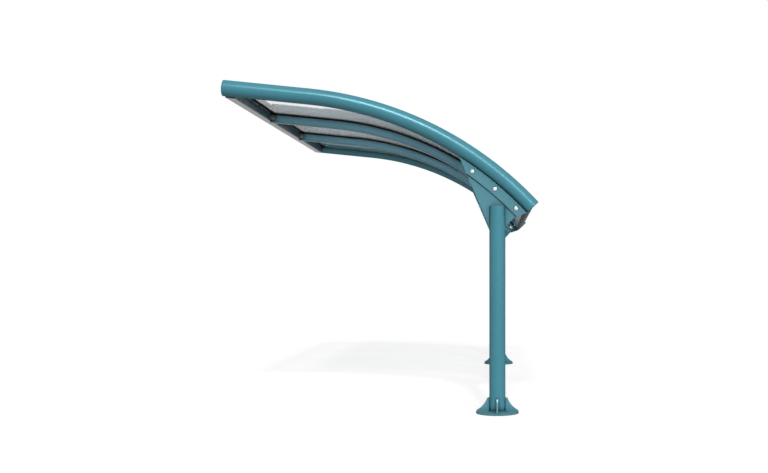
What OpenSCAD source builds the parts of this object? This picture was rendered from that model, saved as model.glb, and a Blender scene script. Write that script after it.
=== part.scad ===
// Cantilever bike shelter. Two end frames, each a round post on a ribbed foot
// with a bent roof tube bolted to its head, carry a curved roof of translucent panels.
// Lengths are in millimetres. The open front faces -X, the frames stand along +Y,
// and the ground is at Z = 0 under the middle of the near post.

/* [Roof line] */
// Distance between the axes of the two end frames
frame_spacing = 3000; // [2000:50:4500]
// Height of the roof tube's axis at its front end
tip_height = 2050; // [1950:10:2250]
// Distance from the post's axis to the rear end of the roof tube's axis
rear_overhang = 223.5; // [180:0.5:260]
// Length of the straight stretch at the front of the roof
front_straight = 542; // [400:1:650]
// Radius of the bent stretch, at the tube's axis
roof_radius = 2238; // [2100:1:2400]
// Fall of the straight stretch towards the rear, in degrees
front_pitch = 5.7; // [4:0.1:8]
// Fall of the roof at its rear end, in degrees
rear_pitch = 47; // [44:0.5:50]

/* [Roof tube] */
// Outside diameter of the roof tube
tube_d = 101.6; // [80:0.1:125]
// Wall of the roof tube
tube_wall = 3.6; // [2:0.1:6]
// Thickness of the disc that closes each end of the tube
tube_cap_t = 4; // [2:0.5:8]

/* [Post] */
// Outside diameter of the post
post_d = 101.6; // [80:0.1:120]
// Wall of the post
post_wall = 4; // [2:0.1:6]
// Thickness of the half discs that close the post's head
post_cap_t = 4; // [2:0.5:8]
// Depth of the slot in the post's head
slot_depth = 130; // [100:1:180]
// Free height between the post's head and the lower edge of the fin
head_gap = 4; // [2:0.5:12]

/* [Foot] */
// Diameter of the base plate
plate_d = 270; // [240:1:340]
// Thickness of the base plate
plate_t = 10; // [6:0.5:16]
// Diameter of the anchor holes
anchor_d = 18; // [10:0.5:22]
// Diameter of the circle of anchor holes
anchor_pcd = 210; // [190:1:216]
// Thickness of the foot ribs
rib_t = 10; // [6:0.5:16]
// Height of the foot ribs over the base plate
rib_h = 90; // [70:1:140]
// Width of a rib at its head
rib_head_w = 14; // [8:0.5:20]
// Fall of a rib's head from the post to its outer corner
rib_head_fall = 7; // [2:0.5:12]
// Height of the upright end of a rib
rib_toe_h = 9; // [4:0.5:16]
// Distance from the end of a rib to the rim of the base plate
rib_margin = 5; // [2:0.5:12]
// Radius of the hollow edge of a rib
rib_curve = 131; // [110:1:180]

/* [Head bracket] */
// Length of the bracket along the roof tube, from the tube's rear end
bracket_len = 570; // [500:1:640]
// Thickness of the gusset plate in the slot of the post
gusset_t = 10; // [6:0.5:14]
// Free depth between the roof tube and the upper edge of the gusset
gusset_gap = 11; // [6:0.5:16]
// Distance from the rear end of the tube to the gusset's rear corner
gusset_margin = 38; // [30:0.5:46]
// Thickness of the curved fin under the roof tube
fin_t = 10; // [6:0.5:14]
// Depth of the fin below the roof tube
fin_depth = 63; // [56:0.5:80]
// Distance from the rear end of the tube to the rear corner of the fin's lower edge
fin_margin = 28; // [20:0.5:36]
// Diameter of the bolt holes in the fin and the gusset
bolt_hole_d = 13; // [9:0.5:16]
// Depth of the bolts below the roof tube's axis
bolt_drop = 81; // [76:0.5:90]
// Distance from the front end of the bracket to the first bolt
bolt_front_margin = 121; // [90:1:150]
// Distance from the rear end of the tube to the last bolt
bolt_rear_margin = 67; // [60:1:90]

/* [Rafters and purlins] */
// Width of the inner rafters
rafter_w = 40; // [30:1:60]
// Depth of the inner rafters
rafter_h = 69; // [60:1:100]
// Wall of the inner rafters
rafter_wall = 3; // [2:0.1:5]
// Height of the rafters' upper face over the roof tube's axis
rafter_rise = 6; // [4:0.5:12]
// Width of the purlins along the roof
purlin_w = 60; // [40:1:80]
// Depth of the purlins
purlin_h = 54; // [40:1:70]
// Wall of the purlins
purlin_wall = 3; // [2:0.1:5]
// Outer radius of the corners of the rafters and purlins
box_corner = 6; // [5.5:0.5:9]
// Thickness of the plates between the purlins and the roof tubes
end_plate_t = 8; // [4:0.5:12]
// Thickness of the flat bars on the roof tubes that carry the panels
ledge_t = 8; // [5:0.5:10]
// Reach of those flat bars beyond the side of the roof tube
ledge_w = 30; // [20:1:45]

/* [Roof skin] */
// Thickness of the roof panels
panel_t = 6; // [4:0.5:10]
// Distance from the side of a roof tube to the edge of a panel
panel_edge_gap = 3; // [1:0.5:6]
// Gap between two panels over a rafter
panel_joint_gap = 8; // [4:0.5:12]
// Gap between the end of a panel and the edge trim
panel_end_gap = 1; // [0.5:0.1:4]
// Thickness of the cover strips on the panels
strip_t = 4; // [2:0.5:8]
// Width of the cover strips over the rafters
strip_w = 50; // [36:1:70]
// Width of the cover strips along the roof tubes
edge_strip_w = 26; // [16:1:27]
// Thickness of the edge trim
trim_t = 3; // [2:0.5:5]
// Outer radius of the bend in the edge trim
trim_bend = 6; // [5.5:0.5:7]
// Width of the rear trim's lip under the purlin
rear_lip_w = 24; // [15:1:50]
// Distance from the rear end of the tube to the rear trim
rear_inset = 5; // [2:0.5:12]

/* [Hidden] */
// Free fit between pieces that are welded or screwed together
fit = 0.2;
// Overrun of every cut beyond the piece that it cuts
overrun = 5;
// Facets of the small and of the wide round shapes
small_fn = 64;
wide_fn = 240;

teal = [0.24, 0.50, 0.56];
light_grey = [0.70, 0.71, 0.72];
smoke = [0.62, 0.66, 0.68, 0.6];

bay_count = 3;
bolt_count = 3;
rib_count = 4;
anchor_count = 4;

tube_r = tube_d / 2;
post_r = post_d / 2;
bay = frame_spacing / bay_count;

// Middle of the bend, at the side where it carries the roof tube's rear end
arc_x = rear_overhang - roof_radius * sin(rear_pitch);
arc_z = tip_height - front_straight * sin(front_pitch) - roof_radius * cos(front_pitch);

// Angle that a length along an arc of radius r takes up
function arc_angle(length, r = roof_radius) = length / r * 180 / PI;
// Point in X and Z at radius r where the roof falls by a pitch
function on_arc(r, pitch) = [arc_x + r * sin(pitch), arc_z + r * cos(pitch)];

// The fin lies on the outer side of the gusset, and meets the tube where its inner edge is
fin_y = gusset_t / 2 + fit;
fin_top_r = roof_radius - sqrt(pow(tube_r, 2) - pow(fin_y, 2)) - fit;
fin_low_r = roof_radius - tube_r - fin_depth;
// Its rear edge leans from its lower corner to the tube's rear end
fin_heel = on_arc(fin_low_r, rear_pitch - arc_angle(fin_margin, fin_low_r));
fin_tip = on_arc(fin_top_r, rear_pitch);

// Bolts share the length between the first and the last one evenly
bracket_pitch = rear_pitch - arc_angle(bracket_len);
bolt_r = roof_radius - bolt_drop;
bolt_first = bracket_pitch + arc_angle(bolt_front_margin, bolt_r);
bolt_last = rear_pitch - arc_angle(bolt_rear_margin, bolt_r);
bolt_step = (bolt_last - bolt_first) / (bolt_count - 1);

// The post's head stays under the fin, measured at the rear of the post
post_top = arc_z + sqrt(pow(fin_low_r, 2) - pow(post_r - arc_x, 2)) - head_gap;
slot_z = post_top - slot_depth;

// The gusset's leaning edges run from the post at the slot's bottom to the bracket's ends
gusset_r = roof_radius - tube_r - gusset_gap;
gusset_front_foot = [-post_r, slot_z];
gusset_rear_foot = [post_r, slot_z];
gusset_front_head = on_arc(roof_radius - tube_r, bracket_pitch);
gusset_rear_head = on_arc(gusset_r, rear_pitch - arc_angle(gusset_margin, gusset_r));

// Stretch at each end of the roof that the trim and the purlin take up
purlin_seat = trim_t + fit;
rafter_seat = purlin_seat + purlin_w + fit;
rear_seat = rear_inset + rafter_seat;
panel_seat = trim_t + panel_end_gap;
// The panels bend away from the flat upper face of the rear purlin
panel_low_r = roof_radius + rafter_rise;
purlin_sag = panel_low_r - sqrt(pow(panel_low_r, 2) - pow(purlin_w - box_corner, 2));
purlin_top = rafter_rise - purlin_sag - fit;
purlin_y = tube_r + end_plate_t + 2 * fit;
purlin_len = frame_spacing - 2 * purlin_y;
trim_low = purlin_top - purlin_h - fit - trim_t;

// Levels over the roof tube's axis, and the panels' outer edges
panel_low = rafter_rise + fit;
strip_low = panel_low + panel_t + fit;
panel_y = tube_r + panel_edge_gap;
ledge_y = sqrt(pow(tube_r, 2) - pow(max(rafter_rise - ledge_t, 0), 2)) + fit;
trim_h = strip_low + strip_t - trim_low;

// Hollow edge of a foot rib, from its head to its toe
plate_r = plate_d / 2;
rib_in = post_r + fit;
rib_out = plate_r - rib_margin;
rib_z = plate_t + fit;
rib_head = [rib_in + rib_head_w, rib_z + rib_h - rib_head_fall];
rib_toe = [rib_out, rib_z + rib_toe_h];
rib_chord = norm(rib_toe - rib_head);
rib_normal = [rib_head.y - rib_toe.y, rib_toe.x - rib_head.x] / rib_chord;
rib_mid = (rib_head + rib_toe) / 2 + rib_normal * sqrt(pow(rib_curve, 2) - pow(rib_chord / 2, 2));

// The far frame mirrors the near one
module far_end() {
    translate([0, frame_spacing, 0])
        mirror([0, 1, 0])
            children();
}

// Stands an outline in X and Z upright, from y towards +Y by its thickness
module upright(y, thickness) {
    translate([0, y + thickness, 0])
        rotate([90, 0, 0])
            linear_extrude(height = thickness)
                children();
}

// Places children where the roof falls by a pitch: x points out of the roof,
// y along it to the rear and z along the shelter
module at_pitch(pitch) {
    translate([arc_x, 0, arc_z])
        rotate([-90, 0, 0])
            rotate([0, 0, pitch - 90])
                translate([roof_radius, 0, 0])
                    children();
}

// Places children at the front end of the roof tube's axis
module at_front() {
    at_pitch(front_pitch)
        translate([0, -front_straight, 0])
            children();
}

// Places children at the rear purlin, with y running back to the front
module at_rear() {
    at_pitch(rear_pitch - arc_angle(rear_seat))
        translate([0, rafter_seat, 0])
            mirror([0, 1, 0])
                children();
}

// Runs a section along the roof line, short of each end by the given lengths
module roof_run(front_short, rear_short) {
    at_pitch(front_pitch) {
        rotate([90, 0, 0])
            linear_extrude(height = front_straight - front_short)
                children();
        translate([-roof_radius, 0, 0])
            rotate_extrude(angle = rear_pitch - front_pitch - arc_angle(rear_short), $fn = wide_fn)
                translate([roof_radius, 0])
                    children();
    }
}

// Rectangle with rounded corners, from the corner at the origin
module rounded_square(depth, width, corner) {
    translate([0, corner])
        square([depth, width - 2 * corner]);
    translate([corner, 0])
        square([depth - 2 * corner, width]);
    for (x = [corner, depth - corner], y = [corner, width - corner])
        translate([x, y])
            circle(r = corner, $fn = small_fn);
}

// Rectangle with its corner at the origin rounded
module corner_block(depth, width, corner) {
    translate([corner, 0])
        square([depth - corner, width]);
    translate([0, corner])
        square([depth, width - corner]);
    translate([corner, corner])
        circle(r = corner, $fn = small_fn);
}

// Hollow section with rounded corners, from the corner at the origin
module box_section(depth, width, wall) {
    difference() {
        rounded_square(depth, width, box_corner);
        translate([wall, wall])
            rounded_square(depth - 2 * wall, width - 2 * wall, box_corner - wall);
    }
}

// Side of the head bracket between the gusset's leaning front edge and a rear edge,
// which both run on over the roof
module bracket_side(rear_foot, rear_head) {
    polygon([
        gusset_front_foot,
        2 * gusset_front_head - gusset_front_foot,
        2 * rear_head - rear_foot,
        rear_foot
    ]);
}

// Bolt holes through the head bracket
module bracket_holes() {
    for (i = [0 : bolt_count - 1]) {
        at_pitch(bolt_first + i * bolt_step)
            translate([-bolt_drop, 0, 0])
                cylinder(
                    h = 2 * (fin_y + fin_t + overrun),
                    d = bolt_hole_d,
                    center = true,
                    $fn = small_fn
                );
    }
}

module base_plate() {
    color(teal)
        difference() {
            cylinder(h = plate_t, r = plate_r, $fn = small_fn);
            for (i = [0 : anchor_count - 1])
                rotate([0, 0, (i + 0.5) * 360 / anchor_count])
                    translate([anchor_pcd / 2, 0, -overrun])
                        cylinder(h = plate_t + 2 * overrun, d = anchor_d, $fn = small_fn);
        }
}

module foot_rib() {
    difference() {
        upright(-rib_t / 2, rib_t)
            polygon([
                [rib_in, rib_z],
                [rib_in, rib_z + rib_h],
                rib_head,
                rib_toe,
                [rib_out, rib_z]
            ]);
        translate([rib_mid.x, 0, rib_mid.y])
            rotate([90, 0, 0])
                cylinder(h = rib_t + 2 * overrun, r = rib_curve, center = true, $fn = wide_fn);
    }
}

module foot_ribs() {
    color(teal)
        for (i = [0 : rib_count - 1])
            rotate([0, 0, i * 360 / rib_count])
                foot_rib();
}

// Space that the gusset takes up in the post's head, with its fit
module head_slot() {
    translate([-post_d, -fin_y, slot_z - fit])
        cube([2 * post_d, 2 * fin_y, slot_depth + overrun]);
}

module post() {
    color(teal)
        difference() {
            translate([0, 0, plate_t + fit])
                cylinder(h = post_top - plate_t - fit, r = post_r, $fn = small_fn);
            translate([0, 0, plate_t - overrun])
                cylinder(h = post_top, r = post_r - post_wall, $fn = small_fn);
            head_slot();
        }
}

module post_cap() {
    color(teal)
        difference() {
            translate([0, 0, post_top - post_cap_t])
                cylinder(h = post_cap_t, r = post_r - post_wall - fit, $fn = small_fn);
            head_slot();
        }
}

module gusset_plate() {
    color(teal)
        difference() {
            intersection() {
                upright(-gusset_t / 2, gusset_t)
                    bracket_side(gusset_rear_foot, gusset_rear_head);
                translate([arc_x, 0, arc_z])
                    rotate([90, 0, 0])
                        cylinder(
                            h = gusset_t + 2 * overrun,
                            r = gusset_r,
                            center = true,
                            $fn = wide_fn
                        );
            }
            bracket_holes();
        }
}

module fin_plate() {
    color(teal)
        difference() {
            intersection() {
                upright(-fin_y - fin_t - overrun, fin_t + 2 * overrun)
                    bracket_side(2 * fin_heel - fin_tip, fin_tip);
                at_pitch(front_pitch)
                    translate([-roof_radius, 0, 0])
                        rotate_extrude(
                            angle = rear_pitch - front_pitch + arc_angle(overrun),
                            $fn = wide_fn
                        )
                            translate([fin_low_r, -fin_y - fin_t])
                                square([fin_top_r - fin_low_r, fin_t]);
            }
            bracket_holes();
        }
}

module roof_tube() {
    color(teal)
        roof_run(tube_cap_t + fit, tube_cap_t + fit)
            difference() {
                circle(r = tube_r, $fn = small_fn);
                circle(r = tube_r - tube_wall, $fn = small_fn);
            }
}

module tube_caps() {
    color(teal) {
        at_front()
            rotate([-90, 0, 0])
                cylinder(h = tube_cap_t, r = tube_r, $fn = small_fn);
        at_pitch(rear_pitch)
            rotate([90, 0, 0])
                cylinder(h = tube_cap_t, r = tube_r, $fn = small_fn);
    }
}

module panel_ledge() {
    color(teal)
        roof_run(rafter_seat, rear_seat)
            translate([rafter_rise - ledge_t, ledge_y])
                square([ledge_t, tube_r + ledge_w - ledge_y]);
}

module rafter(y) {
    color(teal)
        roof_run(rafter_seat, rear_seat)
            translate([rafter_rise - rafter_h, y - rafter_w / 2])
                box_section(rafter_h, rafter_w, rafter_wall);
}

// Box section that runs along the shelter between the end plates
module purlin() {
    color(teal)
        translate([purlin_top - purlin_h, purlin_seat, purlin_y])
            linear_extrude(height = purlin_len)
                box_section(purlin_h, purlin_w, purlin_wall);
}

module end_plates() {
    color(teal)
        for (y = [tube_r + fit, frame_spacing - tube_r - fit - end_plate_t])
            translate([purlin_top - purlin_h, purlin_seat, y])
                linear_extrude(height = end_plate_t)
                    rounded_square(purlin_h, purlin_w, box_corner);
}

// Bent angle before a purlin, as high as the cover strips, with a lip under the purlin
module edge_trim(lip_w) {
    color(light_grey)
        translate([trim_low, 0, panel_y])
            linear_extrude(height = frame_spacing - 2 * panel_y)
                difference() {
                    corner_block(trim_h, lip_w, trim_bend);
                    translate([trim_t, trim_t])
                        corner_block(trim_h, lip_w, trim_bend - trim_t);
                }
}

module panel(y_from, y_to) {
    color(smoke)
        roof_run(panel_seat, rear_inset + panel_seat)
            translate([panel_low, y_from])
                square([panel_t, y_to - y_from]);
}

module cover_strip(y_from, width) {
    color(light_grey)
        roof_run(panel_seat, rear_inset + panel_seat)
            translate([strip_low, y_from])
                square([strip_t, width]);
}

base_plate();  // near_base_plate
far_end() base_plate();  // far_base_plate
foot_ribs();  // near_foot_ribs
far_end() foot_ribs();  // far_foot_ribs
post();  // near_post
far_end() post();  // far_post
post_cap();  // near_post_cap
far_end() post_cap();  // far_post_cap
gusset_plate();  // near_gusset_plate
far_end() gusset_plate();  // far_gusset_plate
fin_plate();  // near_fin_plate
far_end() fin_plate();  // far_fin_plate
roof_tube();  // near_roof_tube
far_end() roof_tube();  // far_roof_tube
tube_caps();  // near_tube_caps
far_end() tube_caps();  // far_tube_caps
panel_ledge();  // near_panel_ledge
far_end() panel_ledge();  // far_panel_ledge
rafter(bay);  // near_rafter
far_end() rafter(bay);  // far_rafter
at_front() purlin();  // front_purlin
at_rear() purlin();  // rear_purlin
at_front() end_plates();  // front_end_plates
at_rear() end_plates();  // rear_end_plates
panel(panel_y, bay - panel_joint_gap / 2);  // near_panel
panel(bay + panel_joint_gap / 2, frame_spacing - bay - panel_joint_gap / 2);  // middle_panel
far_end() panel(panel_y, bay - panel_joint_gap / 2);  // far_panel
cover_strip(panel_y, edge_strip_w);  // near_edge_strip
far_end() cover_strip(panel_y, edge_strip_w);  // far_edge_strip
cover_strip(bay - strip_w / 2, strip_w);  // near_joint_strip
far_end() cover_strip(bay - strip_w / 2, strip_w);  // far_joint_strip
at_front() edge_trim(purlin_seat + purlin_w);  // front_edge_trim
at_rear() edge_trim(rear_lip_w);  // rear_edge_trim
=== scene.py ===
"""Looks of the bike shelter: finishes for the frame's pieces, and the small pieces on them.

The small pieces are bracket bolts, sheet screws, rivets, seals, cleats and weld seams.
"""
from math import cos, pi, radians, sin, sqrt

import bpy
from mathutils import Matrix, Vector


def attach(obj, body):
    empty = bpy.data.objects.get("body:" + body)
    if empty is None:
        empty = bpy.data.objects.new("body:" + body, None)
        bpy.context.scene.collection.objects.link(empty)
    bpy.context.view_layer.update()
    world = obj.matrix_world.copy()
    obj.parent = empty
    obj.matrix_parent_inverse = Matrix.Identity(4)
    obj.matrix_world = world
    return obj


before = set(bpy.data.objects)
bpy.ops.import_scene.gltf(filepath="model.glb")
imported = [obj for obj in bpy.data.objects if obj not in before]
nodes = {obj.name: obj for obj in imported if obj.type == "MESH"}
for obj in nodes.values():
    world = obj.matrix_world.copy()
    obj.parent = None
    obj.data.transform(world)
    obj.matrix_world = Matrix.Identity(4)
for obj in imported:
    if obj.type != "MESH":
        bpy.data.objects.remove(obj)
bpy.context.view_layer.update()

# Roof line in metres: a straight front stretch, then an arc that falls to the rear
FRAME_SPACING = 3.0
ROOF_RADIUS = 2.238
FRONT_PITCH, REAR_PITCH = 5.7, 47.0
FRONT_STRAIGHT = 0.542
TIP_HEIGHT, REAR_OVERHANG = 2.05, 0.2235
ARC_X = REAR_OVERHANG - ROOF_RADIUS * sin(radians(REAR_PITCH))
ARC_Z = (TIP_HEIGHT - FRONT_STRAIGHT * sin(radians(FRONT_PITCH))
         - ROOF_RADIUS * cos(radians(FRONT_PITCH)))
ROOF_LENGTH = FRONT_STRAIGHT + ROOF_RADIUS * radians(REAR_PITCH - FRONT_PITCH)

# Lengths from the roof's ends to the rafters, and from there to the rear trim's outer face
FRONT_SEAT, REAR_SEAT, REAR_DEPTH = 0.0634, 0.0684, 0.0634

# Head bracket
BOLT_PITCHES = (35.62, 40.42, 45.22)
BOLT_DROP = 0.081
BOLT_TURN = 17
FIN_FACE_Y, GUSSET_FACE_Y = -0.0152, 0.005

# Foot
POST_R = 0.0508
PLATE_TOP = 0.010
RIB_HALF = 0.005


def roof_point(along, rise=0.0, y=0.0):
    """Point over the roof line, a length from the tube's front end, and the roof's fall there."""
    if along < FRONT_STRAIGHT:
        fall = radians(FRONT_PITCH)
        back = FRONT_STRAIGHT - along
    else:
        fall = radians(FRONT_PITCH) + (along - FRONT_STRAIGHT) / ROOF_RADIUS
        back = 0.0
    r = ROOF_RADIUS + rise
    x = ARC_X + r * sin(fall) - back * cos(fall)
    z = ARC_Z + r * cos(fall) + back * sin(fall)
    return Vector((x, y, z)), fall


# Shader groups

def new_group(name, inputs, outputs):
    """Empty shader group with named sockets, given as (name, type, default) and (name, type)."""
    group = bpy.data.node_groups.new(name, "ShaderNodeTree")
    for label, kind, default in inputs:
        socket = group.interface.new_socket(label, in_out="INPUT", socket_type=kind)
        if default is not None:
            socket.default_value = default
    for label, kind in outputs:
        group.interface.new_socket(label, in_out="OUTPUT", socket_type=kind)
    return group, group.nodes.new("NodeGroupInput"), group.nodes.new("NodeGroupOutput")


def add(tree, kind, **settings):
    """New node with its properties set."""
    node = tree.nodes.new(kind)
    for key, value in settings.items():
        setattr(node, key, value)
    return node


def noise(tree, vector, scale, detail=3.0, rough=0.55):
    """Noise texture on a vector socket."""
    node = add(tree, "ShaderNodeTexNoise")
    node.inputs["Scale"].default_value = scale
    node.inputs["Detail"].default_value = detail
    node.inputs["Roughness"].default_value = rough
    tree.links.new(vector, node.inputs["Vector"])
    return node


def remap(tree, value, low=0.0, high=1.0, to_low=0.0, to_high=1.0):
    """Value moved from one range to another, held at its ends."""
    node = add(tree, "ShaderNodeMapRange")
    for label, number in (("From Min", low), ("From Max", high),
                          ("To Min", to_low), ("To Max", to_high)):
        node.inputs[label].default_value = number
    tree.links.new(value, node.inputs["Value"])
    return node.outputs["Result"]


def math(tree, operation, a, b):
    """Sum, product or other operation on two values, each a socket or a number."""
    node = add(tree, "ShaderNodeMath", operation=operation)
    for socket, value in zip(node.inputs, (a, b)):
        if isinstance(value, (int, float)):
            socket.default_value = value
        else:
            tree.links.new(value, socket)
    return node.outputs["Value"]


def mix_colour(tree, share, a, b):
    """Blend of two colours, each a socket or an RGBA value."""
    node = add(tree, "ShaderNodeMix", data_type="RGBA")
    tree.links.new(share, node.inputs["Factor"])
    for socket, value in ((node.inputs[6], a), (node.inputs[7], b)):
        if isinstance(value, tuple):
            socket.default_value = value
        else:
            tree.links.new(value, socket)
    return node.outputs[2]


def stretched(tree, vector, scale):
    """Vector scaled along each axis, so that a texture on it runs in streaks."""
    node = add(tree, "ShaderNodeMapping")
    node.inputs["Scale"].default_value = scale
    tree.links.new(vector, node.inputs["Vector"])
    return node.outputs["Vector"]


def make_mottle_group():
    """Slow drift of a colour over a surface, with finer clouds in it."""
    tree, source, sink = new_group(
        "colour_mottle",
        [("Vector", "NodeSocketVector", None),
         ("Light", "NodeSocketColor", (0.5, 0.5, 0.5, 1.0)),
         ("Dark", "NodeSocketColor", (0.4, 0.4, 0.4, 1.0))],
        [("Color", "NodeSocketColor"), ("Cloud", "NodeSocketFloat")])
    wide_share = 0.65
    wide = noise(tree, source.outputs["Vector"], scale=2.2, detail=3.0).outputs["Fac"]
    fine = noise(tree, source.outputs["Vector"], scale=34.0, detail=4.0).outputs["Fac"]
    cloud = math(tree, "ADD", math(tree, "MULTIPLY", wide, wide_share),
                 math(tree, "MULTIPLY", fine, 1.0 - wide_share))
    cloud = remap(tree, cloud, low=0.36, high=0.64)
    colour = mix_colour(tree, cloud, source.outputs["Dark"], source.outputs["Light"])
    tree.links.new(colour, sink.inputs["Color"])
    tree.links.new(cloud, sink.inputs["Cloud"])
    return tree


def make_edge_group():
    """Mask of worn edges: where the rounded normal leaves the face's own, broken up by noise."""
    tree, source, sink = new_group(
        "edge_wear",
        [("Vector", "NodeSocketVector", None)],
        [("Mask", "NodeSocketFloat"), ("Normal", "NodeSocketVector")])
    bevel = add(tree, "ShaderNodeBevel", samples=6)
    bevel.inputs["Radius"].default_value = 0.0022
    face = add(tree, "ShaderNodeNewGeometry")
    dot = add(tree, "ShaderNodeVectorMath", operation="DOT_PRODUCT")
    tree.links.new(bevel.outputs["Normal"], dot.inputs[0])
    tree.links.new(face.outputs["Normal"], dot.inputs[1])
    edge = remap(tree, dot.outputs["Value"], low=0.985, high=0.80)
    patch = noise(tree, source.outputs["Vector"], scale=48.0, detail=5.0, rough=0.65)
    chip = remap(tree, patch.outputs["Fac"], low=0.50, high=0.66)
    tree.links.new(math(tree, "MULTIPLY", edge, chip), sink.inputs["Mask"])
    tree.links.new(bevel.outputs["Normal"], sink.inputs["Normal"])
    return tree


def make_weather_and_shade_group():
    """Masks of dust on faces that look up, streaks down upright ones and painted shade in corners.
    """
    tree, source, sink = new_group(
        "weather_and_corner_shade",
        [("Vector", "NodeSocketVector", None)],
        [("Dust", "NodeSocketFloat"), ("Streak", "NodeSocketFloat"),
         ("PaintedShade", "NodeSocketFloat")])
    face = add(tree, "ShaderNodeNewGeometry")
    axes = add(tree, "ShaderNodeSeparateXYZ")
    tree.links.new(face.outputs["Normal"], axes.inputs["Vector"])
    up = remap(tree, axes.outputs["Z"], low=0.35, high=0.95)
    cloud = noise(tree, source.outputs["Vector"], scale=7.0, detail=5.0, rough=0.6).outputs["Fac"]
    dust = math(tree, "MULTIPLY", up, remap(tree, cloud, low=0.35, high=0.70))
    tree.links.new(dust, sink.inputs["Dust"])
    flow = stretched(tree, source.outputs["Vector"], (1.0, 1.0, 0.06))
    lines = noise(tree, flow, scale=60.0, detail=3.0, rough=0.6).outputs["Fac"]
    tilt = math(tree, "ABSOLUTE", axes.outputs["Z"], 0.0)
    upright = remap(tree, tilt, low=0.5, high=0.1)
    streak = math(tree, "MULTIPLY", upright, remap(tree, lines, low=0.52, high=0.75))
    tree.links.new(streak, sink.inputs["Streak"])
    # Painted shade: ambient occlusion darkens corners and places where parts meet, less on faces
    # that look up
    corner = add(tree, "ShaderNodeAmbientOcclusion", samples=8)
    corner.inputs["Distance"].default_value = 0.045
    closed = remap(tree, corner.outputs["AO"], low=0.97, high=0.55)
    uneven = remap(tree, cloud, low=0.25, high=0.65, to_low=0.75, to_high=1.0)
    painted_shade = math(tree, "MULTIPLY", closed, uneven)
    less_on_tops = remap(tree, up, to_low=1.0, to_high=0.35)
    tree.links.new(math(tree, "MULTIPLY", painted_shade, less_on_tops), sink.inputs["PaintedShade"])
    return tree


def make_grain_group():
    """Fine parallel grain: a height and a spread of roughness."""
    tree, source, sink = new_group(
        "drawn_grain",
        [("Vector", "NodeSocketVector", None),
         ("Smooth", "NodeSocketFloat", 0.3),
         ("Rough", "NodeSocketFloat", 0.45)],
        [("Height", "NodeSocketFloat"), ("Roughness", "NodeSocketFloat")])
    lines = noise(tree, source.outputs["Vector"], scale=90.0, detail=4.0, rough=0.7).outputs["Fac"]
    span = add(tree, "ShaderNodeMapRange")
    span.inputs["From Min"].default_value = 0.3
    span.inputs["From Max"].default_value = 0.7
    tree.links.new(lines, span.inputs["Value"])
    tree.links.new(source.outputs["Smooth"], span.inputs["To Min"])
    tree.links.new(source.outputs["Rough"], span.inputs["To Max"])
    tree.links.new(lines, sink.inputs["Height"])
    tree.links.new(span.outputs["Result"], sink.inputs["Roughness"])
    return tree


mottle_group = make_mottle_group()
edge_group = make_edge_group()
weather_and_shade_group = make_weather_and_shade_group()
grain_group = make_grain_group()


# Finishes

# What lies on a finish, and the painted shade in its corners: its colour, and its strength where
# every piece has the same
PAINT_DUST = (0.30, 0.31, 0.29, 1.0), 0.10
PAINT_STREAK = (0.24, 0.33, 0.36, 1.0), 0.05
PAINT_RUB = (0.21, 0.40, 0.46, 1.0), 0.35
# Colour of the painted shade in a coat's corners
PAINT_CORNER_SHADE = (0.016, 0.030, 0.034, 1.0)
METAL_DUST = (0.33, 0.32, 0.30, 1.0), 0.25
# Colour and strength of the painted shade in a metal's corners
METAL_CORNER_SHADE = (0.05, 0.05, 0.05, 1.0), 0.60
RUBBER_DUST = (0.10, 0.10, 0.09, 1.0), 0.2
SHEET_DUST = (0.46, 0.46, 0.44, 1.0), 0.2


def new_material(name):
    """Material with its Principled node, its node tree and its Object coordinates."""
    material = bpy.data.materials.new(name)
    material.use_nodes = True
    tree = material.node_tree
    shader = tree.nodes["Principled BSDF"]
    place = add(tree, "ShaderNodeTexCoord").outputs["Object"]
    return material, tree, shader, place


def use_group(tree, group, vector):
    """Shader group placed in a material, read at a vector."""
    node = add(tree, "ShaderNodeGroup", node_tree=group)
    tree.links.new(vector, node.inputs["Vector"])
    return node


def laid_over(tree, colour, mask, film):
    """Colour under a film, given as the film's colour and strength, where a mask shows it."""
    over, strength = film
    return mix_colour(tree, math(tree, "MULTIPLY", mask, strength), colour, over)


def bump(tree, shader, height, distance, strength=1.0, normal=None):
    """Bump from a height socket into the shader's normal."""
    node = add(tree, "ShaderNodeBump")
    node.inputs["Distance"].default_value = distance
    node.inputs["Strength"].default_value = strength
    tree.links.new(height, node.inputs["Height"])
    if normal is not None:
        tree.links.new(normal, node.inputs["Normal"])
    tree.links.new(node.outputs["Normal"], shader.inputs["Normal"])


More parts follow.
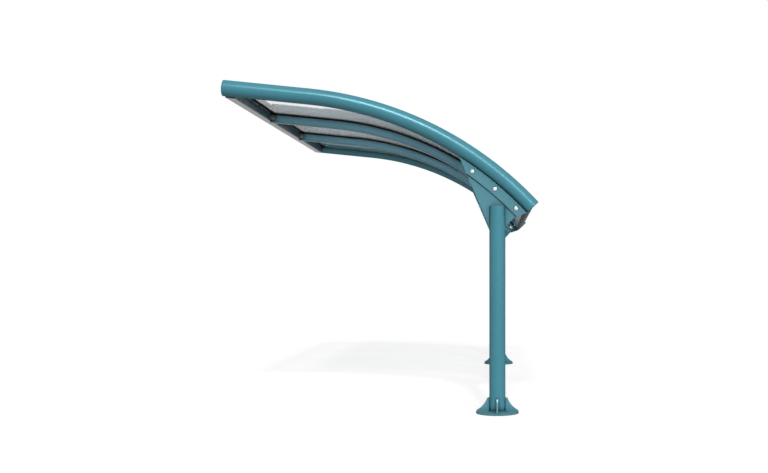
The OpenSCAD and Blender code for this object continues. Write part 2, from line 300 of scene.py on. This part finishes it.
def make_coat(name, light, dark, ripple=0.0, level=0.33, rim_level=0.0, painted_shade=0.95):
    """Powder coat: slow mottle, orange peel, dust, faint streaks, rubbed edges and painted shade in
    corners.

    A ripple is the scale of a weld's ripples. The gloss has one level where a surface faces the
    eye and another at its rims.
    """
    material, tree, shader, place = new_material(name)
    mottle = use_group(tree, mottle_group, place)
    mottle.inputs["Light"].default_value = light
    mottle.inputs["Dark"].default_value = dark
    edge = use_group(tree, edge_group, place)
    weather_and_shade_masks = use_group(tree, weather_and_shade_group, place)
    colour = laid_over(tree, mottle.outputs["Color"], weather_and_shade_masks.outputs["Dust"], PAINT_DUST)
    colour = laid_over(tree, colour, weather_and_shade_masks.outputs["Streak"], PAINT_STREAK)
    colour = laid_over(tree, colour, edge.outputs["Mask"], PAINT_RUB)
    # Painted shade: the coat darkened towards a near black teal in corners and where parts meet
    colour = laid_over(tree, colour, weather_and_shade_masks.outputs["PaintedShade"], (PAINT_CORNER_SHADE, painted_shade))
    tree.links.new(colour, shader.inputs["Base Color"])
    gloss = remap(tree, mottle.outputs["Cloud"], to_low=0.28, to_high=0.32)
    dull = remap(tree, weather_and_shade_masks.outputs["Dust"], to_low=0.0, to_high=0.12)
    tree.links.new(math(tree, "ADD", gloss, dull), shader.inputs["Roughness"])
    rim = add(tree, "ShaderNodeLayerWeight").outputs["Facing"]
    shine = remap(tree, rim, low=0.25, high=0.60, to_low=level, to_high=rim_level)
    tree.links.new(shine, shader.inputs["Specular IOR Level"])
    shader.inputs["Metallic"].default_value = 0.10
    height = noise(tree, place, scale=420.0, detail=2.0).outputs["Fac"]
    if ripple:
        ripple_height = 6.0
        scales = noise(tree, place, scale=ripple, detail=1.0).outputs["Fac"]
        height = math(tree, "ADD", height, math(tree, "MULTIPLY", scales, ripple_height))
    bump(tree, shader, height, distance=0.00025, strength=0.6, normal=edge.outputs["Normal"])
    return material


def make_grey_metal(name, base, metal, scale, smooth, rough, level=0.5):
    """Anodised strip or zinc: grain along the piece, light clouds, dust and painted shade in
    corners.
    """
    material, tree, shader, place = new_material(name)
    mottle = use_group(tree, mottle_group, place)
    mottle.inputs["Light"].default_value = (*base, 1.0)
    dark_share = 0.82
    mottle.inputs["Dark"].default_value = (*(dark_share * c for c in base), 1.0)
    weather_and_shade_masks = use_group(tree, weather_and_shade_group, place)
    colour = laid_over(tree, mottle.outputs["Color"], weather_and_shade_masks.outputs["Dust"], METAL_DUST)
    # Painted shade: the metal darkened towards near black in corners and where parts meet
    colour = laid_over(tree, colour, weather_and_shade_masks.outputs["PaintedShade"], METAL_CORNER_SHADE)
    tree.links.new(colour, shader.inputs["Base Color"])
    grain = use_group(tree, grain_group, stretched(tree, place, scale))
    grain.inputs["Smooth"].default_value = smooth
    grain.inputs["Rough"].default_value = rough
    tree.links.new(grain.outputs["Roughness"], shader.inputs["Roughness"])
    shader.inputs["Metallic"].default_value = metal
    shader.inputs["Specular IOR Level"].default_value = level
    bump(tree, shader, grain.outputs["Height"], distance=0.0001, strength=0.5)
    return material


def make_rubber():
    """Black seal: faint clouds, fine pores and dust."""
    material, tree, shader, place = new_material("seal_rubber")
    mottle = use_group(tree, mottle_group, place)
    mottle.inputs["Light"].default_value = (0.010, 0.013, 0.014, 1.0)
    mottle.inputs["Dark"].default_value = (0.006, 0.008, 0.009, 1.0)
    weather_and_shade_masks = use_group(tree, weather_and_shade_group, place)
    colour = laid_over(tree, mottle.outputs["Color"], weather_and_shade_masks.outputs["Dust"], RUBBER_DUST)
    tree.links.new(colour, shader.inputs["Base Color"])
    dull = remap(tree, mottle.outputs["Cloud"], to_low=0.62, to_high=0.78)
    tree.links.new(dull, shader.inputs["Roughness"])
    shader.inputs["Specular IOR Level"].default_value = 0.02
    pores = noise(tree, place, scale=900.0, detail=2.0).outputs["Fac"]
    bump(tree, shader, pores, distance=0.0001, strength=0.4)
    return material


def make_sheet():
    """Smoke tinted clear sheet, smooth on both sides, that lets lamps through."""
    material, tree, shader, place = new_material("smoke_sheet")
    mottle = use_group(tree, mottle_group, place)
    mottle.inputs["Light"].default_value = (0.84, 0.85, 0.855, 1.0)
    mottle.inputs["Dark"].default_value = (0.79, 0.80, 0.805, 1.0)
    weather_and_shade_masks = use_group(tree, weather_and_shade_group, place)
    colour = laid_over(tree, mottle.outputs["Color"], weather_and_shade_masks.outputs["Dust"], SHEET_DUST)
    tree.links.new(colour, shader.inputs["Base Color"])
    haze = remap(tree, mottle.outputs["Cloud"], to_low=0.03, to_high=0.06)
    tree.links.new(haze, shader.inputs["Roughness"])
    shader.inputs["Transmission Weight"].default_value = 1.0
    shader.inputs["IOR"].default_value = 1.49
    wave = noise(tree, place, scale=6.0, detail=2.0).outputs["Fac"]
    bump(tree, shader, wave, distance=0.0001, strength=0.02)
    clear = add(tree, "ShaderNodeBsdfTransparent")
    clear.inputs["Color"].default_value = (0.63, 0.65, 0.66, 1.0)
    path = add(tree, "ShaderNodeLightPath")
    mix = add(tree, "ShaderNodeMixShader")
    lets_by = math(tree, "MAXIMUM", path.outputs["Is Shadow Ray"], path.outputs["Is Diffuse Ray"])
    tree.links.new(lets_by, mix.inputs["Fac"])
    tree.links.new(shader.outputs["BSDF"], mix.inputs[1])
    tree.links.new(clear.outputs["BSDF"], mix.inputs[2])
    tree.links.new(mix.outputs["Shader"], tree.nodes["Material Output"].inputs["Surface"])
    return material


teal_coat = make_coat("teal_coat", (0.062, 0.277, 0.352, 1.0), (0.052, 0.248, 0.316, 1.0))
# Lighter, greyer copy of the teal coat on the plates: painted sheen, with less painted corner shade
plate_coat_painted_sheen = make_coat(
    "plate_coat_painted_sheen", (0.097, 0.284, 0.350, 1.0), (0.083, 0.256, 0.317, 1.0), painted_shade=0.60)
# Lighter copy of the teal coat on the feet: painted light, with less painted corner shade
foot_coat_painted_light = make_coat(
    "foot_coat_painted_light", (0.114, 0.330, 0.405, 1.0), (0.098, 0.298, 0.367, 1.0), painted_shade=0.40)
# Greyer copy of the teal coat on the rafters: painted light for the light under the roof
rafter_coat_painted_light = make_coat(
    "rafter_coat_painted_light", (0.125, 0.266, 0.330, 1.0), (0.110, 0.240, 0.298, 1.0), level=0.06,
    rim_level=0.06)
# Lighter, greyer copy of the teal coat on the purlins: painted light from below, with little
# painted corner shade
purlin_coat_painted_light = make_coat(
    "purlin_coat_painted_light", (0.145, 0.290, 0.352, 1.0), (0.128, 0.262, 0.318, 1.0), level=0.06,
    rim_level=0.06, painted_shade=0.10)
seam_coat = make_coat(
    "seam_coat", (0.060, 0.268, 0.342, 1.0), (0.050, 0.240, 0.308, 1.0), ripple=140.0)
trim_metal = make_grey_metal(
    "trim_metal", (0.40, 0.40, 0.405), metal=0.2, scale=(40.0, 0.8, 40.0),
    smooth=0.34, rough=0.46)
# Darker, duller copy of the trim's grey on the rear trim: painted shade
rear_trim_painted_shade = make_grey_metal(
    "rear_trim_painted_shade", (0.240, 0.252, 0.260), metal=0.0, scale=(40.0, 0.8, 40.0),
    smooth=0.70, rough=0.85, level=0.02)
strip_metal = make_grey_metal(
    "strip_metal", (0.46, 0.46, 0.465), metal=0.4, scale=(1.2, 40.0, 1.2),
    smooth=0.32, rough=0.44)
bolt_zinc = make_grey_metal(
    "bolt_zinc", (0.86, 0.88, 0.89), metal=0.8, scale=(6.0, 6.0, 6.0), smooth=0.20, rough=0.32)
cleat_zinc = make_grey_metal(
    "cleat_zinc", (0.42, 0.40, 0.405), metal=0.1, scale=(6.0, 6.0, 6.0),
    smooth=0.44, rough=0.58)
seal_rubber = make_rubber()
smoke_sheet = make_sheet()

for name, node in nodes.items():
    if name.endswith("_panel"):
        finish = smoke_sheet
    elif name.endswith("_strip"):
        finish = strip_metal
    elif name.endswith(("_gusset_plate", "_fin_plate")):
        finish = plate_coat_painted_sheen
    elif name.endswith(("_base_plate", "_foot_ribs")):
        finish = foot_coat_painted_light
    elif name.endswith("_rafter"):
        finish = rafter_coat_painted_light
    elif name.endswith("_purlin"):
        finish = purlin_coat_painted_light
    elif name == "rear_edge_trim":
        finish = rear_trim_painted_shade
    elif name == "front_edge_trim":
        finish = trim_metal
    else:
        finish = teal_coat
    node.data.materials.clear()
    node.data.materials.append(finish)


# Modelling helpers

def edit(piece):
    """Opens a piece in edit mode with nothing else selected."""
    if bpy.context.mode != "OBJECT":
        bpy.ops.object.mode_set(mode="OBJECT")
    bpy.ops.object.select_all(action="DESELECT")
    piece.select_set(True)
    bpy.context.view_layer.objects.active = piece
    bpy.ops.object.mode_set(mode="EDIT")
    bpy.ops.mesh.select_mode(type="FACE")


def done():
    """Leaves edit mode."""
    bpy.ops.object.mode_set(mode="OBJECT")


def select_faces(piece, test):
    """Selects the faces of the piece in edit mode whose centre and normal pass the test."""
    bpy.ops.mesh.select_all(action="DESELECT")
    bpy.ops.object.mode_set(mode="OBJECT")
    for face in piece.data.polygons:
        face.select = test(face.center, face.normal)
    bpy.ops.object.mode_set(mode="EDIT")


def turned(name, sides, profile):
    """Round piece about Z: a disc, then one extruded and resized ring for each (radius, height)."""
    bpy.ops.object.select_all(action="DESELECT")
    radius, height = profile[0]
    bpy.ops.mesh.primitive_circle_add(
        vertices=sides, radius=radius, fill_type="NGON", location=(0, 0, height))
    piece = bpy.context.object
    piece.name = name
    bpy.ops.object.transform_apply(location=True, rotation=True, scale=True)
    edit(piece)
    bpy.ops.mesh.select_all(action="SELECT")
    for next_radius, next_height in profile[1:]:
        bpy.ops.mesh.extrude_region_move(
            TRANSFORM_OT_translate={"value": (0, 0, next_height - height)})
        if next_radius != radius:
            ratio = next_radius / radius
            bpy.ops.transform.resize(value=(ratio, ratio, 1), center_override=(0, 0, next_height))
        radius, height = next_radius, next_height
    bpy.ops.mesh.select_all(action="SELECT")
    bpy.ops.mesh.normals_make_consistent(inside=False)
    done()
    bpy.ops.object.shade_smooth_by_angle(angle=radians(35))
    return piece


def hexagon(name, across, low, high):
    """Hexagonal nut or screw head about Z, with its corners turned off at both ends."""
    bpy.ops.object.select_all(action="DESELECT")
    corner = across / sqrt(3)
    bpy.ops.mesh.primitive_cylinder_add(
        vertices=6, radius=corner, depth=high - low, location=(0, 0, (low + high) / 2))
    piece = bpy.context.object
    piece.name = name
    bpy.ops.object.transform_apply(location=True, rotation=True, scale=True)
    edit(piece)
    inset_share, rise_share = 0.14, 0.07
    for side in (1, -1):
        select_faces(piece, lambda centre, normal: normal.z * side > 0.9)
        bpy.ops.mesh.inset(thickness=corner * inset_share)
        bpy.ops.transform.translate(value=(0, 0, side * corner * rise_share))
    done()
    return piece


def joined(name, parts):
    """One piece from several."""
    bpy.ops.object.select_all(action="DESELECT")
    for part in parts:
        part.select_set(True)
    bpy.context.view_layer.objects.active = parts[0]
    bpy.ops.object.join()
    parts[0].name = name
    parts[0].data.name = name
    return parts[0]


def copy_at(piece, name, place):
    """Copy of a piece with its own mesh, set down by a matrix."""
    bpy.ops.object.select_all(action="DESELECT")
    piece.select_set(True)
    bpy.context.view_layer.objects.active = piece
    bpy.ops.object.duplicate(linked=False)
    copy = bpy.context.object
    copy.name = name
    copy.data.name = name
    copy.matrix_world = place
    bpy.ops.object.transform_apply(location=True, rotation=True, scale=True)
    return copy


def drop(piece):
    """Deletes a pattern piece once its copies are made."""
    bpy.ops.object.select_all(action="DESELECT")
    piece.select_set(True)
    bpy.ops.object.delete()


def dress(piece, finish):
    """Gives a finished piece its material and the body that it rides on."""
    piece.data.materials.clear()
    piece.data.materials.append(finish)
    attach(piece, "root")


# Bracket bolts: domed head and washer on the fin, washer, nut and bolt end on the gusset

def make_bracket_bolt():
    """Bolt about Z through the bracket, with the fin's face at zero and the head above it."""
    thick = GUSSET_FACE_Y - FIN_FACE_Y
    head = turned("bolt_head", 40, [
        (0.0112, 0.0022), (0.0122, 0.0028), (0.0121, 0.0040), (0.0112, 0.0058),
        (0.0090, 0.0074), (0.0060, 0.0084), (0.0026, 0.0089)])
    washer = turned("bolt_washer", 40, [
        (0.0133, 0.0), (0.0138, 0.0005), (0.0138, 0.0020), (0.0133, 0.0025), (0.0115, 0.0025)])
    shank = turned("bolt_shank", 28, [
        (0.0050, -thick - 0.0190), (0.0060, -thick - 0.0176), (0.0060, 0.0022), (0.0054, 0.0024)])
    back = turned("nut_washer", 40, [
        (0.0133, -thick - 0.0025), (0.0138, -thick - 0.0020),
        (0.0138, -thick - 0.0005), (0.0133, -thick), (0.0115, -thick)])
    nut = hexagon("bolt_nut", 0.018, -thick - 0.0126, -thick - 0.0032)
    return joined("bracket_bolt", [head, washer, shank, back, nut])


bolt = make_bracket_bolt()
for end in ("near", "far"):
    for i, pitch in enumerate(BOLT_PITCHES):
        r = ROOF_RADIUS - BOLT_DROP
        x = ARC_X + r * sin(radians(pitch))
        z = ARC_Z + r * cos(radians(pitch))
        side = -1 if end == "near" else 1
        y = FIN_FACE_Y if end == "near" else FRAME_SPACING - FIN_FACE_Y
        place = (Matrix.Translation((x, y, z))
                 @ Matrix.Rotation(-side * pi / 2, 4, "X")
                 @ Matrix.Rotation(radians(pitch + BOLT_TURN * i), 4, "Z"))
        dress(copy_at(bolt, f"{end}_bracket_bolt_{i + 1}", place), bolt_zinc)
drop(bolt)


# Sheet screws along the cover strips and rivets on the edge trims

def make_sheet_screw():
    """Hexagonal screw with a dished sealing washer, seated at zero."""
    washer = turned("screw_washer", 20, [
        (0.0080, -0.0003), (0.0082, 0.0006), (0.0062, 0.0016), (0.0050, 0.0017)])
    head = hexagon("screw_head", 0.008, 0.0020, 0.0058)
    return joined("sheet_screw", [head, washer])


def make_rivet():
    """Low domed rivet head, seated at zero."""
    return turned("trim_rivet", 20, [
        (0.0050, -0.0003), (0.0052, 0.0004), (0.0046, 0.0013), (0.0030, 0.0019), (0.0012, 0.0021)])


RAFTER_LINES = {"near": 1.0, "far": 2.0}
STRIP_TOP = 0.0164
EDGE_STRIP_Y = 0.0668
STRIP_LINES = {
    "near_edge": EDGE_STRIP_Y, "near_joint": RAFTER_LINES["near"],
    "far_joint": RAFTER_LINES["far"], "far_edge": FRAME_SPACING - EDGE_STRIP_Y}
SCREW_COUNT, SCREW_MARGIN, SCREW_TURN = 7, 0.045, 23

screw = make_sheet_screw()
for line, y in STRIP_LINES.items():
    row = []
    for i in range(SCREW_COUNT):
        along = SCREW_MARGIN + i * (ROOF_LENGTH - 2 * SCREW_MARGIN) / (SCREW_COUNT - 1)
        point, fall = roof_point(along, STRIP_TOP, y)
        place = (Matrix.Translation(point) @ Matrix.Rotation(fall, 4, "Y")
                 @ Matrix.Rotation(radians(SCREW_TURN * i), 4, "Z"))
        row.append(copy_at(screw, f"{line}_screw_{i + 1}", place))
    dress(joined(f"{line}_screws", row), bolt_zinc)
drop(screw)

RIVET_COUNT, RIVET_MARGIN, RIVET_RISE = 9, 0.14, -0.020
rivet = make_rivet()
for end, along, out, turn in (
        ("front", 0.0, 0.0, -pi / 2), ("rear", ROOF_LENGTH - REAR_SEAT, REAR_DEPTH, pi / 2)):
    row = []
    for i in range(RIVET_COUNT):
        y = RIVET_MARGIN + i * (FRAME_SPACING - 2 * RIVET_MARGIN) / (RIVET_COUNT - 1)
        point, fall = roof_point(along, RIVET_RISE, y)
        place = (Matrix.Translation(point) @ Matrix.Rotation(fall, 4, "Y")
                 @ Matrix.Translation((out, 0, 0))
                 @ Matrix.Rotation(turn, 4, "Y"))
        row.append(copy_at(rivet, f"{end}_rivet_{i + 1}", place))
    dress(joined(f"{end}_trim_rivets", row), bolt_zinc)
drop(rivet)


# Seals in the corners under the panels, and cleats between the rafters and the purlins

RAFTER_HALF = 0.020
SEAL_TOP = 0.0061
ROUND_SEAL, FLAT_SEAL = (0.0030, 0.0055), (0.0220, 0.0030)
SEAL_SHORT = 0.004
SEAL_SINK = 0.0002
BAY_EDGE, BAY_JOINT = 0.084, 0.028
BAYS = ((BAY_EDGE, RAFTER_LINES["near"] - BAY_JOINT),
        (RAFTER_LINES["near"] + BAY_JOINT, RAFTER_LINES["far"] - BAY_JOINT),
        (RAFTER_LINES["far"] + BAY_JOINT, FRAME_SPACING - BAY_EDGE))


def seal_section(name, place, half):
    """Rounded outline of a seal with two half sizes, along X and Y, open in edit mode."""
    bpy.ops.object.select_all(action="DESELECT")
    bpy.ops.mesh.primitive_circle_add(vertices=12, radius=half[0], location=(0, 0, 0))
    piece = bpy.context.object
    piece.name = name
    edit(piece)
    bpy.ops.mesh.select_all(action="SELECT")
    bpy.ops.transform.resize(value=(1, half[1] / half[0], 1))
    done()
    piece.matrix_world = place
    bpy.ops.object.transform_apply(location=True, rotation=True, scale=True)
    edit(piece)
    bpy.ops.mesh.select_mode(type="EDGE")
    bpy.ops.mesh.select_all(action="SELECT")
    return piece


def close_seal(piece):
    """Closes both ends of a seal and leaves edit mode."""
    bpy.ops.mesh.select_all(action="SELECT")
    bpy.ops.mesh.fill_holes(sides=0)
    bpy.ops.mesh.select_all(action="SELECT")
    bpy.ops.mesh.normals_make_consistent(inside=False)
    done()
    bpy.ops.object.shade_smooth_by_angle(angle=radians(50))
    return piece


def rafter_seal(name, y):
    """Seal beside a rafter: its outline drawn out straight, then spun round the bend."""
    point, fall = roof_point(FRONT_SEAT + SEAL_SHORT, SEAL_TOP - ROUND_SEAL[1], y)
    place = (Matrix.Translation(point) @ Matrix.Rotation(fall, 4, "Y")
             @ Matrix.Rotation(pi / 2, 4, "Z") @ Matrix.Rotation(pi / 2, 4, "X"))
    piece = seal_section(name, place, ROUND_SEAL)
    straight = FRONT_STRAIGHT - FRONT_SEAT - SEAL_SHORT
    bpy.ops.mesh.extrude_region_move(TRANSFORM_OT_translate={
        "value": (straight * cos(fall), 0, -straight * sin(fall))})
    bend = ROOF_LENGTH - FRONT_STRAIGHT - REAR_SEAT - SEAL_SHORT
    bpy.ops.mesh.spin(steps=40, angle=-bend / ROOF_RADIUS,
                      center=(ARC_X, y, ARC_Z), axis=(0, 1, 0))
    return close_seal(piece)


def purlin_seal(name, along, y_from, y_to, half):
    """Seal beside a purlin between two rafters."""
    point, fall = roof_point(along, SEAL_TOP - half[1], y_from)
    place = (Matrix.Translation(point) @ Matrix.Rotation(fall, 4, "Y")
             @ Matrix.Rotation(pi / 2, 4, "X"))
    piece = seal_section(name, place, half)
    for share in (0.02, 0.96, 0.02):
        bpy.ops.mesh.extrude_region_move(TRANSFORM_OT_translate={
            "value": (0, share * (y_to - y_from), 0)})
    return close_seal(piece)


for end, y in RAFTER_LINES.items():
    offset = RAFTER_HALF + ROUND_SEAL[0] - SEAL_SINK
    pair = [rafter_seal(f"{end}_seal", y - offset), rafter_seal(f"{end}_seal", y + offset)]
    dress(joined(f"{end}_rafter_seals", pair), seal_rubber)

for end, along, half in (
        ("front", FRONT_SEAT + FLAT_SEAL[0] - SEAL_SINK, FLAT_SEAL),
        ("rear", ROOF_LENGTH - REAR_SEAT - ROUND_SEAL[0] + SEAL_SINK, ROUND_SEAL)):
    row = [purlin_seal(f"{end}_seal", along, low, high, half) for low, high in BAYS]
    dress(joined(f"{end}_purlin_seals", row), seal_rubber)

CLEAT_LEG, CLEAT_T, CLEAT_H = 0.032, 0.003, 0.036
CLEAT_RISE, CLEAT_GAP = -0.025, 0.0004
CLEAT_EDGE = 0.0007
CLEAT_RIVET = 0.019


def make_cleat():
    """Angle in the corner at the origin, with legs along X and Y and a rivet in each."""
    bpy.ops.object.select_all(action="DESELECT")
    bpy.ops.mesh.primitive_cube_add(size=1, location=(CLEAT_T / 2, CLEAT_T / 2, 0))
    piece = bpy.context.object
    piece.name = "cleat"
    piece.scale = (CLEAT_T, CLEAT_T, CLEAT_H)
    bpy.ops.object.transform_apply(location=True, rotation=True, scale=True)
    edit(piece)
    reach = CLEAT_LEG - CLEAT_T
    select_faces(piece, lambda centre, normal: normal.x > 0.9)
    bpy.ops.mesh.extrude_region_move(TRANSFORM_OT_translate={"value": (reach, 0, 0)})
    select_faces(piece, lambda centre, normal: normal.y > 0.9 and centre.x < CLEAT_T)
    bpy.ops.mesh.extrude_region_move(TRANSFORM_OT_translate={"value": (0, reach, 0)})
    bpy.ops.mesh.select_mode(type="EDGE")
    bpy.ops.mesh.select_all(action="SELECT")
    bpy.ops.mesh.bevel(offset=CLEAT_EDGE, segments=2, affect="EDGES")
    bpy.ops.mesh.select_all(action="SELECT")
    bpy.ops.mesh.normals_make_consistent(inside=False)
    done()
    bpy.ops.object.shade_smooth_by_angle(angle=radians(40))
    pattern = make_rivet()
    on_x = copy_at(pattern, "cleat_rivet", Matrix.Translation((CLEAT_RIVET, CLEAT_T, 0))
                   @ Matrix.Rotation(-pi / 2, 4, "X"))
    on_y = copy_at(pattern, "cleat_rivet", Matrix.Translation((CLEAT_T, CLEAT_RIVET, 0))
                   @ Matrix.Rotation(pi / 2, 4, "Y"))
    drop(pattern)
    return joined("cleat", [piece, on_x, on_y])


cleat = make_cleat()
for end, y in RAFTER_LINES.items():
    row = []
    for along, face in ((FRONT_SEAT, 1), (ROOF_LENGTH - REAR_SEAT, -1)):
        for side in (1, -1):
            point, fall = roof_point(along, CLEAT_RISE, y + side * RAFTER_HALF)
            quarter = {(1, 1): 0, (-1, 1): 1, (-1, -1): 2, (1, -1): 3}[face, side]
            place = (Matrix.Translation(point) @ Matrix.Rotation(fall, 4, "Y")
                     @ Matrix.Rotation(quarter * pi / 2, 4, "Z")
                     @ Matrix.Translation((CLEAT_GAP, CLEAT_GAP, 0)))
            row.append(copy_at(cleat, f"{end}_cleat", place))
    dress(joined(f"{end}_rafter_cleats", row), cleat_zinc)
drop(cleat)


# Weld seams

FOOT_BEAD, RIB_BEAD = 0.0045, 0.0036
FOOT_LIFT, RIB_LIFT = 0.0005, 0.0003
RIB_COUNT = 4
RIB_SEAM, RIB_SEAM_LOW = 0.078, 0.015
# The seam at a rib's foot begins further out and is shorter than the one at the post
FLAT_SEAM_IN, FLAT_SEAM_SHARE = 0.056, 0.90
SEAM_STEP = 0.006


def ring_seam(name, radius, height, bead):
    """Bead round the foot of a post: a small circle spun about the post's axis."""
    bpy.ops.object.select_all(action="DESELECT")
    bpy.ops.mesh.primitive_circle_add(
        vertices=10, radius=bead, location=(radius, 0, height), rotation=(pi / 2, 0, 0))
    piece = bpy.context.object
    piece.name = name
    bpy.ops.object.transform_apply(location=True, rotation=True, scale=True)
    edit(piece)
    bpy.ops.mesh.select_all(action="SELECT")
    bpy.ops.mesh.spin(steps=72, angle=2 * pi, center=(0, 0, 0), axis=(0, 0, 1))
    bpy.ops.mesh.select_all(action="SELECT")
    bpy.ops.mesh.remove_doubles(threshold=0.00005)
    bpy.ops.mesh.normals_make_consistent(inside=False)
    done()
    bpy.ops.object.shade_smooth_by_angle(angle=radians(60))
    return piece


def straight_seam(name, length, bead):
    """Bead along Z from zero: a rod in short steps with rounded ends."""
    steps = max(4, round(length / SEAM_STEP))
    profile = [(bead * 0.45, 0.0), (bead * 0.85, bead * 0.5)]
    for i in range(1, steps):
        swell = 1.0 if i % 2 else 0.93
        profile.append((bead * swell, bead * 0.5 + i * (length - bead) / steps))
    profile += [(bead * 0.85, length - bead * 0.5), (bead * 0.45, length)]
    piece = turned(name, 10, profile)
    bpy.ops.object.shade_smooth_by_angle(angle=radians(70))
    return piece


foot_seam = ring_seam("foot_seam", POST_R + FOOT_LIFT, PLATE_TOP + FOOT_LIFT, FOOT_BEAD)
rib_seam = straight_seam("rib_seam", RIB_SEAM, RIB_BEAD)
for end, y in (("near", 0.0), ("far", FRAME_SPACING)):
    seams = [copy_at(foot_seam, f"{end}_foot_seam", Matrix.Translation((0, y, 0)))]
    for i in range(RIB_COUNT):
        turn = Matrix.Translation((0, y, 0)) @ Matrix.Rotation(i * 2 * pi / RIB_COUNT, 4, "Z")
        for side in (1, -1):
            upright = turn @ Matrix.Translation((POST_R, side * RIB_HALF, RIB_SEAM_LOW))
            seams.append(copy_at(rib_seam, f"{end}_rib_seam", upright))
            flat = (turn
                    @ Matrix.Translation((FLAT_SEAM_IN, side * RIB_HALF, PLATE_TOP + RIB_LIFT))
                    @ Matrix.Rotation(pi / 2, 4, "Y")
                    @ Matrix.Scale(FLAT_SEAM_SHARE, 4, (0, 0, 1)))
            seams.append(copy_at(rib_seam, f"{end}_rib_seam", flat))
    dress(joined(f"{end}_foot_welds", seams), seam_coat)
drop(foot_seam)
drop(rib_seam)


# Floor, light and camera

FLOOR_SIZE = 80
# Floor as the camera sees it: glow, its share beside lit white; and its grey for other light
FLOOR_GLOW, FLOOR_GLOW_SHARE, FLOOR_GREY = 1.17, 0.65, 0.28
# Soft light from the front and from behind
SOFT_FRONT, SOFT_BEHIND = 0.12, 0.60
# Name, strength, spread, elevation and angle to the right, in degrees
LAMPS = (
    ("key", 1.10, 6, 37.4, -2),
    ("high", 1.10, 4, 40, 9),
    ("side", 0.55, 15, 27, 24),
    ("fill", 0.50, 70, 6, 40),
)


def make_floor():
    """Pale floor: the camera sees it white with the object's shadow, other light sees it grey."""
    bpy.ops.object.select_all(action="DESELECT")
    bpy.ops.mesh.primitive_plane_add(size=FLOOR_SIZE, location=(0, FRAME_SPACING / 2, 0))
    floor = bpy.context.object
    floor.name = "floor"
    material = bpy.data.materials.new("floor_white")
    material.use_nodes = True
    tree = material.node_tree
    tree.nodes.remove(tree.nodes["Principled BSDF"])
    seen = add(tree, "ShaderNodeEmission")
    seen.inputs["Strength"].default_value = FLOOR_GLOW
    lit = add(tree, "ShaderNodeBsdfDiffuse")
    lit.inputs["Color"].default_value = (1.0, 1.0, 1.0, 1.0)
    dull = add(tree, "ShaderNodeBsdfDiffuse")
    dull.inputs["Color"].default_value = (FLOOR_GREY, FLOOR_GREY, FLOOR_GREY, 1.0)
    white = add(tree, "ShaderNodeMixShader")
    white.inputs["Fac"].default_value = FLOOR_GLOW_SHARE
    tree.links.new(lit.outputs["BSDF"], white.inputs[1])
    tree.links.new(seen.outputs["Emission"], white.inputs[2])
    mix = add(tree, "ShaderNodeMixShader")
    tree.links.new(background_share(tree), mix.inputs["Fac"])
    tree.links.new(dull.outputs["BSDF"], mix.inputs[1])
    tree.links.new(white.outputs["Shader"], mix.inputs[2])
    tree.links.new(mix.outputs["Shader"], tree.nodes["Material Output"].inputs["Surface"])
    floor.data.materials.append(material)


def background_share(tree):
    """One for rays that show the background: from the camera, from gloss and through glass."""
    path = add(tree, "ShaderNodeLightPath")
    share = math(tree, "MAXIMUM", path.outputs["Is Camera Ray"], path.outputs["Is Glossy Ray"])
    share = math(tree, "MAXIMUM", share, path.outputs["Is Transmission Ray"])
    seen = math(tree, "LESS_THAN", path.outputs["Diffuse Depth"], 0.5)
    return math(tree, "MULTIPLY", share, seen)


def make_world():
    """White surroundings where they are seen, and soft light, stronger from behind, elsewhere."""
    world = bpy.data.worlds.new("studio")
    world.use_nodes = True
    bpy.context.scene.world = world
    tree = world.node_tree
    seen = tree.nodes["Background"]
    seen.inputs["Color"].default_value = (1.0, 1.0, 1.0, 1.0)
    seen.inputs["Strength"].default_value = 1.0
    soft = add(tree, "ShaderNodeBackground")
    soft.inputs["Color"].default_value = (0.96, 0.98, 1.0, 1.0)
    axes = add(tree, "ShaderNodeSeparateXYZ")
    direction = add(tree, "ShaderNodeTexCoord").outputs["Generated"]
    tree.links.new(direction, axes.inputs["Vector"])
    glow = remap(tree, axes.outputs["Y"], to_low=SOFT_FRONT, to_high=SOFT_BEHIND)
    tree.links.new(glow, soft.inputs["Strength"])
    mix = add(tree, "ShaderNodeMixShader")
    tree.links.new(background_share(tree), mix.inputs["Fac"])
    tree.links.new(soft.outputs["Background"], mix.inputs[1])
    tree.links.new(seen.outputs["Background"], mix.inputs[2])
    tree.links.new(mix.outputs["Shader"], tree.nodes["World Output"].inputs["Surface"])


def make_lamp(name, strength, spread, elevation, aside):
    """Lamp from the camera's side, at an elevation and an angle to the right, in degrees."""
    lamp = bpy.data.lights.new(name, "SUN")
    lamp.energy = strength
    lamp.angle = radians(spread)
    lamp.color = (1.0, 0.99, 0.98)
    stand = bpy.data.objects.new(name, lamp)
    stand.rotation_euler = (radians(90 - elevation), 0, radians(aside))
    bpy.context.scene.collection.objects.link(stand)


def make_camera():
    """Camera at the photograph's place, level, with its frame shifted off the lens axis."""
    lens = bpy.data.cameras.new("camera")
    lens.sensor_fit = "HORIZONTAL"
    lens.sensor_width = 36.0
    lens.lens = 44.55
    lens.shift_x = -0.1523
    lens.shift_y = 0.0365
    lens.clip_end = 200.0
    camera = bpy.data.objects.new("camera", lens)
    camera.location = (0.0227, -6.0, 0.9356)
    camera.rotation_euler = (pi / 2, 0, 0)
    bpy.context.scene.collection.objects.link(camera)
    bpy.context.scene.camera = camera


make_floor()
make_world()
for lamp in LAMPS:
    make_lamp(*lamp)
make_camera()
bpy.context.scene.view_settings.view_transform = "Standard"
